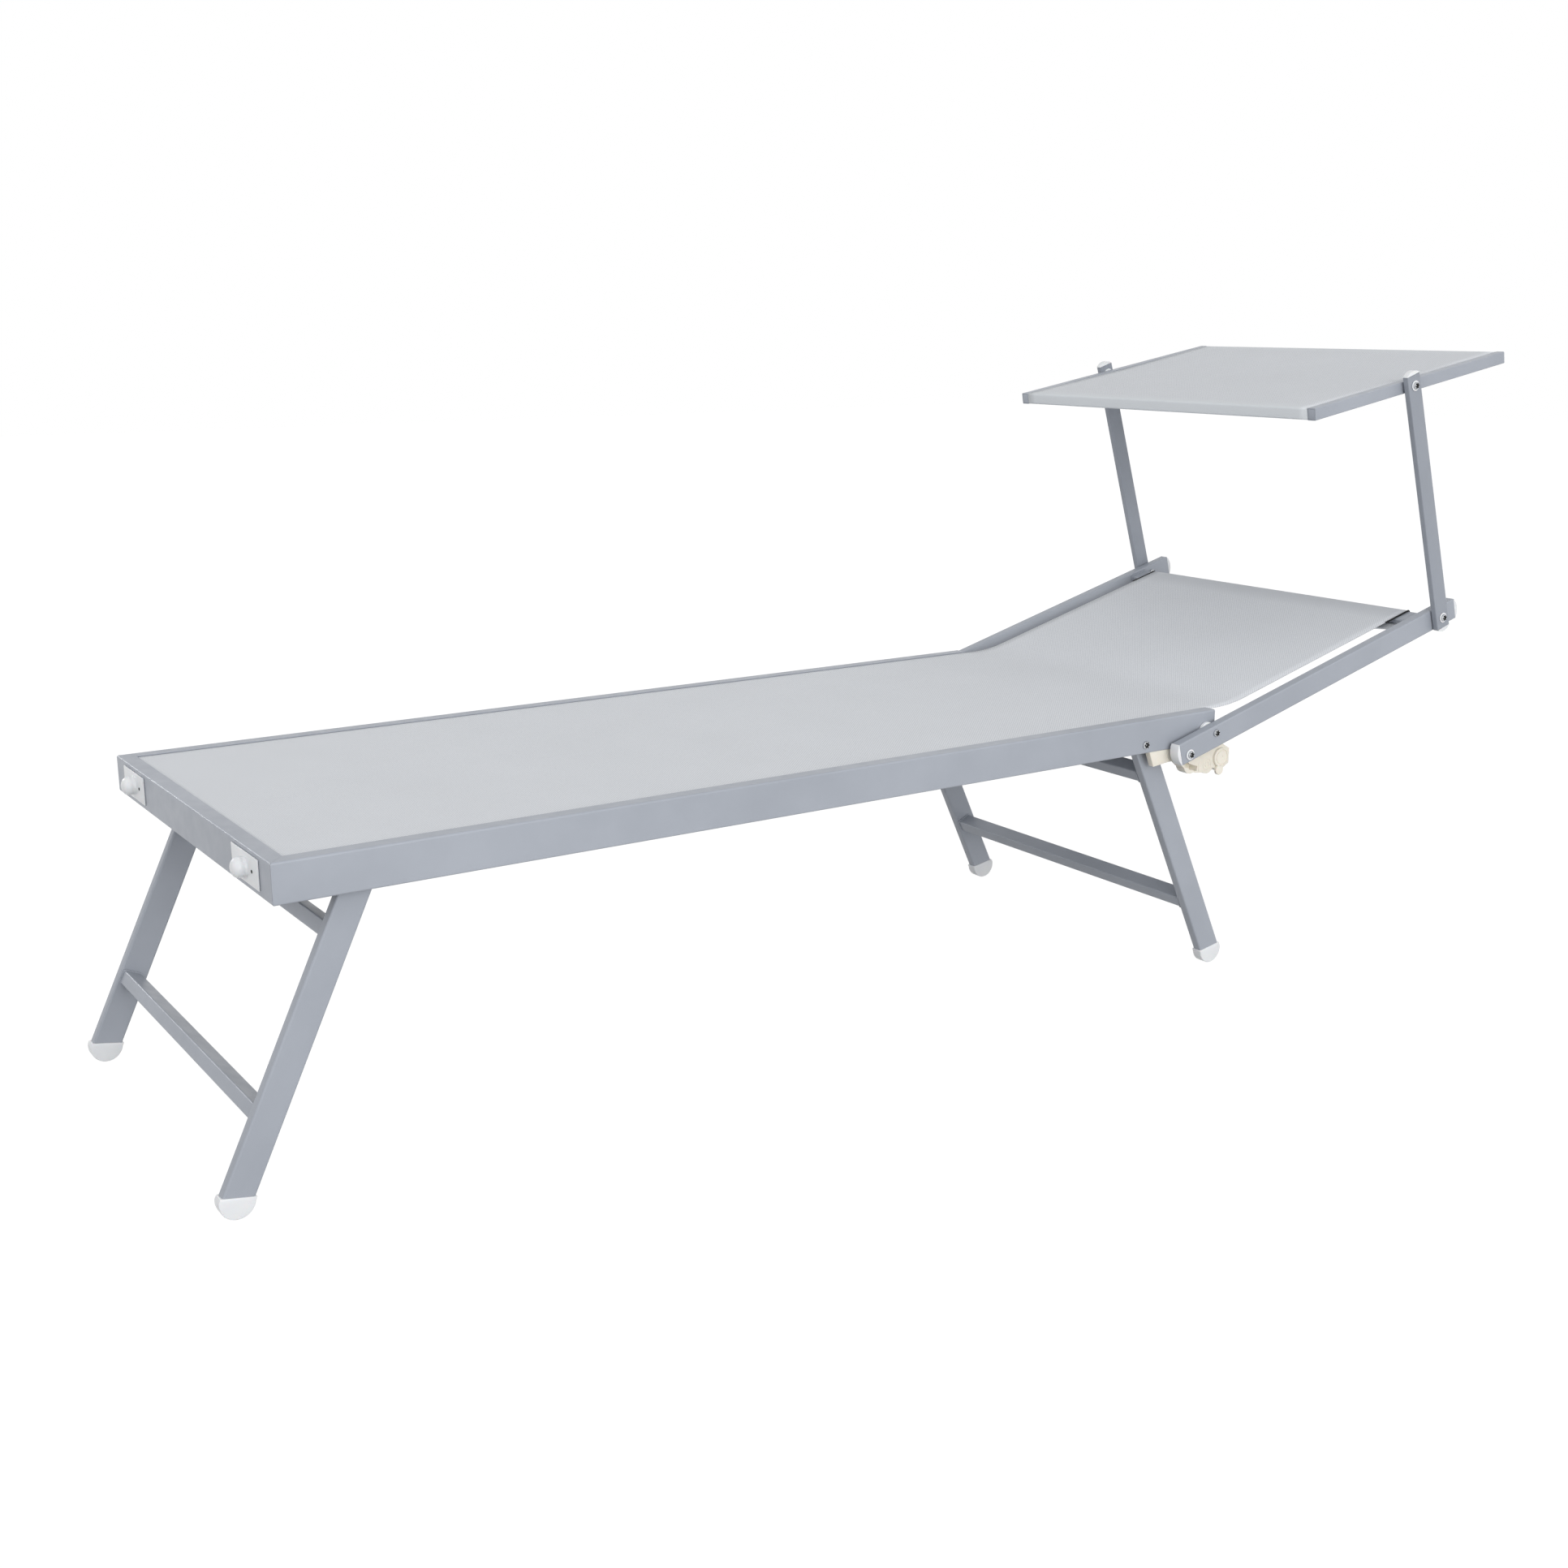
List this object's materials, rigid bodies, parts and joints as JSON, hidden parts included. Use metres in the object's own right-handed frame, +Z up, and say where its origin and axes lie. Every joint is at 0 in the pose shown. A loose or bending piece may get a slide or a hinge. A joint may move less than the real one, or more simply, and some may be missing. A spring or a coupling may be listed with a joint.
{
  "type": "sun lounger with canopy",
  "caption": "Folding tube-frame sun lounger with a tensioned mesh sling, a reclining backrest and a tilting shade canopy on posts, standing on two folding leg frames.",
  "frame": {"origin": "on the floor, under the middle of the overall length and width", "axes": "+Z up, +Y along the bed to the head end, +X to the right when looking from the foot end to the head end"},
  "size_m": [0.6766, 2.0704, 0.9106],
  "materials": {
    "frame": "blue-grey satin powder coat on aluminium tube",
    "sling": "light grey woven vinyl-coated mesh with fine ribs across",
    "canopy_cloth": "light grey woven mesh, taut",
    "white_plastic": "moulded, semi-gloss",
    "ivory_plastic": "moulded, satin",
    "steel": "zinc plated"
  },
  "bodies": {
    "bed_frame": {"side_rail_right": "frame", "side_rail_left": "frame", "foot_rail": "frame", "spreader_bar": "frame", "sling_seat": "sling", "bumper_right": "white_plastic", "bumper_left": "white_plastic", "recliner_housing_right": "ivory_plastic", "recliner_housing_left": "ivory_plastic", "housing_screw_right": "steel", "housing_screw_left": "steel", "backrest_pivot_bolt_right": "steel", "backrest_pivot_bolt_left": "steel", "pivot_spacer_right": "white_plastic", "pivot_spacer_left": "white_plastic", "front_leg_bolt_right": "steel", "front_leg_bolt_left": "steel", "rear_leg_bolt_right": "steel", "rear_leg_bolt_left": "steel"},
    "catch_right": {"recliner_catch_right": "ivory_plastic"},
    "catch_left": {"recliner_catch_left": "ivory_plastic"},
    "front_leg_frame": {"front_leg_right": "frame", "front_leg_left": "frame", "front_foot_cap_right": "white_plastic", "front_foot_cap_left": "white_plastic", "front_upper_crossbar": "frame", "front_lower_crossbar": "frame"},
    "rear_leg_frame": {"rear_leg_right": "frame", "rear_leg_left": "frame", "rear_foot_cap_right": "white_plastic", "rear_foot_cap_left": "white_plastic", "rear_upper_crossbar": "frame", "rear_lower_crossbar": "frame"},
    "backrest": {"backrest_tube_right": "frame", "backrest_tube_left": "frame", "backrest_head_cap_right": "white_plastic", "backrest_head_cap_left": "white_plastic", "backrest_tail_cap_right": "white_plastic", "backrest_tail_cap_left": "white_plastic", "head_bar": "frame", "stop_pin_right": "steel", "stop_pin_left": "steel", "sling_back": "sling", "post_pivot_bolt_right": "steel", "post_pivot_bolt_left": "steel"},
    "canopy_posts": {"canopy_post_right": "frame", "canopy_post_left": "frame", "post_top_cap_right": "white_plastic", "post_top_cap_left": "white_plastic", "post_low_cap_right": "white_plastic", "post_low_cap_left": "white_plastic", "friction_washer_right": "white_plastic", "friction_washer_left": "white_plastic", "canopy_pivot_bolt_right": "steel", "canopy_pivot_bolt_left": "steel"},
    "canopy_frame": {"canopy_rail_right": "frame", "canopy_rail_left": "frame", "canopy_front_bar": "frame", "canopy_back_bar": "frame", "canopy_fabric": "canopy_cloth"}
  },
  "joints": [
    {"name": "recline", "type": "hinge", "parent": "bed_frame", "child": "backrest", "pos_m": [0, 0.43676, 0.37669], "axis": [1, 0, 0], "range_deg": [-12.6, 50]},
    {"name": "canopy_swing", "type": "hinge", "parent": "backrest", "child": "canopy_posts", "pos_m": [0, 0.91929, 0.50468], "axis": [1, 0, 0], "range_deg": [-92, 45]},
    {"name": "canopy_tilt", "type": "hinge", "parent": "canopy_posts", "child": "canopy_frame", "pos_m": [0, 0.80676, 0.86376], "axis": [1, 0, 0], "range_deg": [-82, 97]},
    {"name": "front_legs_fold", "type": "hinge", "parent": "bed_frame", "child": "front_leg_frame", "pos_m": [0, -0.85014, 0.36969], "axis": [1, 0, 0], "range_deg": [0, 115.2]},
    {"name": "rear_legs_fold", "type": "hinge", "parent": "bed_frame", "child": "rear_leg_frame", "pos_m": [0, 0.33416, 0.36969], "axis": [1, 0, 0], "range_deg": [-115.2, 0]},
    {"name": "catch_turn_right", "type": "hinge", "parent": "bed_frame", "child": "catch_right", "pos_m": [0.291, 0.47336, 0.33159], "axis": [1, 0, 0], "range_deg": [-20, 20], "stiffness_Nm_per_rad": 0.3},
    {"name": "catch_turn_left", "type": "hinge", "parent": "bed_frame", "child": "catch_left", "pos_m": [-0.291, 0.47336, 0.33159], "axis": [1, 0, 0], "range_deg": [-20, 20], "stiffness_Nm_per_rad": 0.3}
  ]
}
